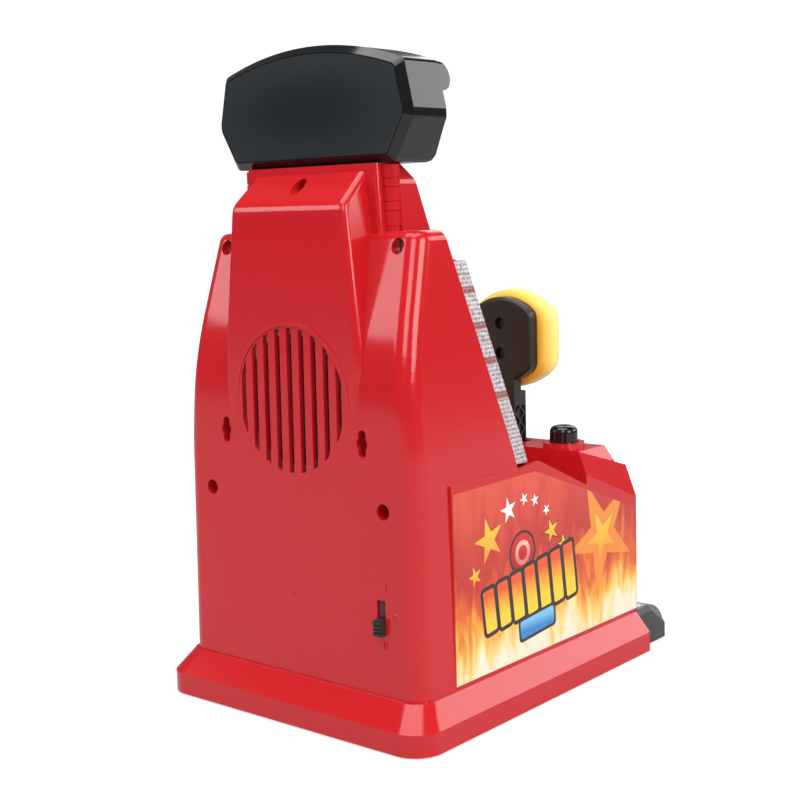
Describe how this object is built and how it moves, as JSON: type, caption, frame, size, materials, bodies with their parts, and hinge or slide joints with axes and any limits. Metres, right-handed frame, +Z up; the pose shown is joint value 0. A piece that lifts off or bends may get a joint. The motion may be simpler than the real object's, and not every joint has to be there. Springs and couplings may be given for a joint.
{
  "type": "boxing punch machine",
  "caption": "Small table-top punch machine: a tower with a scoring head, a sprung foam punch pad on an arm, a start button, light bars and a token tray with a clear flap.",
  "frame": {"origin": "middle of the footprint, on the floor under the rubber feet", "axes": "+Z up, the punch pad and token tray face -Y, the speaker grille faces +Y, mirrored about X = 0"},
  "size_m": [0.1542, 0.209, 0.288],
  "materials": {
    "red_gloss": "glossy moulded ABS, deep red",
    "black_gloss": "glossy black moulding",
    "panel_gloss": "polished blue-black inlay",
    "arm_plastic": "satin black-brown moulding",
    "cheek_plastic": "satin dark grey moulding",
    "foam_yellow": "soft closed-cell foam with a skin",
    "clear_ribbed": "clear ribbed plastic with red marks",
    "clear_smoke": "clear smooth plastic",
    "lens_dark": "dark tinted window",
    "print_side": "printed film, flames and stars",
    "print_face": "printed film, flames",
    "white_cone": "pressed paper cone",
    "steel": "plain steel",
    "zinc": "bright plated steel",
    "magnet_black": "ferrite",
    "board_green": "printed circuit board",
    "rubber_black": "soft black rubber",
    "cell_label": "shrink-wrapped cell",
    "inner_grey": "plain inner moulding",
    "brass": "contact strip"
  },
  "bodies": {
    "body": {"rear_housing": "red_gloss", "front_housing": "red_gloss", "base_plinth": "red_gloss", "rubber_feet": "rubber_black", "base_screws": "zinc", "housing_screws": "zinc", "battery_box": "inner_grey", "battery_cells": "cell_label", "battery_contacts": "brass", "battery_cover": "red_gloss", "battery_cover_screw": "zinc", "head_rear_bezel": "black_gloss", "head_rear_panel": "panel_gloss", "head_front_shell": "black_gloss", "head_screws": "zinc", "display_lens": "lens_dark", "display_module": "inner_grey", "display_board": "board_green", "light_bar_left": "clear_ribbed", "light_bar_right": "clear_ribbed", "led_board_left": "board_green", "led_board_right": "board_green", "face_print": "print_face", "side_sticker_left": "print_side", "side_sticker_right": "print_side", "front_sticker": "print_face", "arm_cradle": "inner_grey", "cradle_screws": "zinc", "arm_axle": "steel", "axle_clip": "steel", "front_bumper": "rubber_black", "rear_bumper": "rubber_black", "return_spring": "steel", "sensor_board": "board_green", "sensor_screws": "zinc", "button_switch": "inner_grey", "button_board": "board_green", "button_board_screws": "zinc", "button_spring": "steel", "coin_slot_plate": "cheek_plastic", "coin_chute": "inner_grey", "coin_tray": "cheek_plastic", "tray_screws": "zinc", "flap_pin": "steel", "speaker_frame": "inner_grey", "speaker_cone": "white_cone", "speaker_magnet": "magnet_black", "speaker_retainer": "inner_grey", "main_board": "board_green", "board_screws": "zinc", "power_switch_body": "inner_grey", "switch_screws": "zinc"},
    "arm": {"punch_arm": "arm_plastic", "arm_magnet": "magnet_black", "pad_backing_plate": "arm_plastic", "pad_screws": "zinc", "foam_pad": "foam_yellow"},
    "button": {"start_button": "black_gloss"},
    "power_slider": {"switch_knob": "rubber_black"},
    "token_flap": {"coin_flap": "clear_smoke"}
  },
  "joints": [
    {"name": "punch_swing", "type": "hinge", "parent": "body", "child": "arm", "pos_m": [0, -0.0635, 0.074], "axis": [-1, 0, 0], "range_deg": [0, 50], "stiffness_Nm_per_rad": 0.5, "springref_deg": -28.65},
    {"name": "start_press", "type": "slide", "parent": "body", "child": "button", "axis": [0, 0, -1], "range_m": [0, 0.0025], "stiffness_N_per_m": 300, "springref_m": -0.001, "deforming": ["button_spring"]},
    {"name": "power_slide", "type": "slide", "parent": "body", "child": "power_slider", "axis": [0, 0, 1], "range_m": [0, 0.0075]},
    {"name": "flap_hinge", "type": "hinge", "parent": "body", "child": "token_flap", "pos_m": [0, -0.0825, 0.0156], "axis": [-1, 0, 0], "range_deg": [0, 75]}
  ]
}
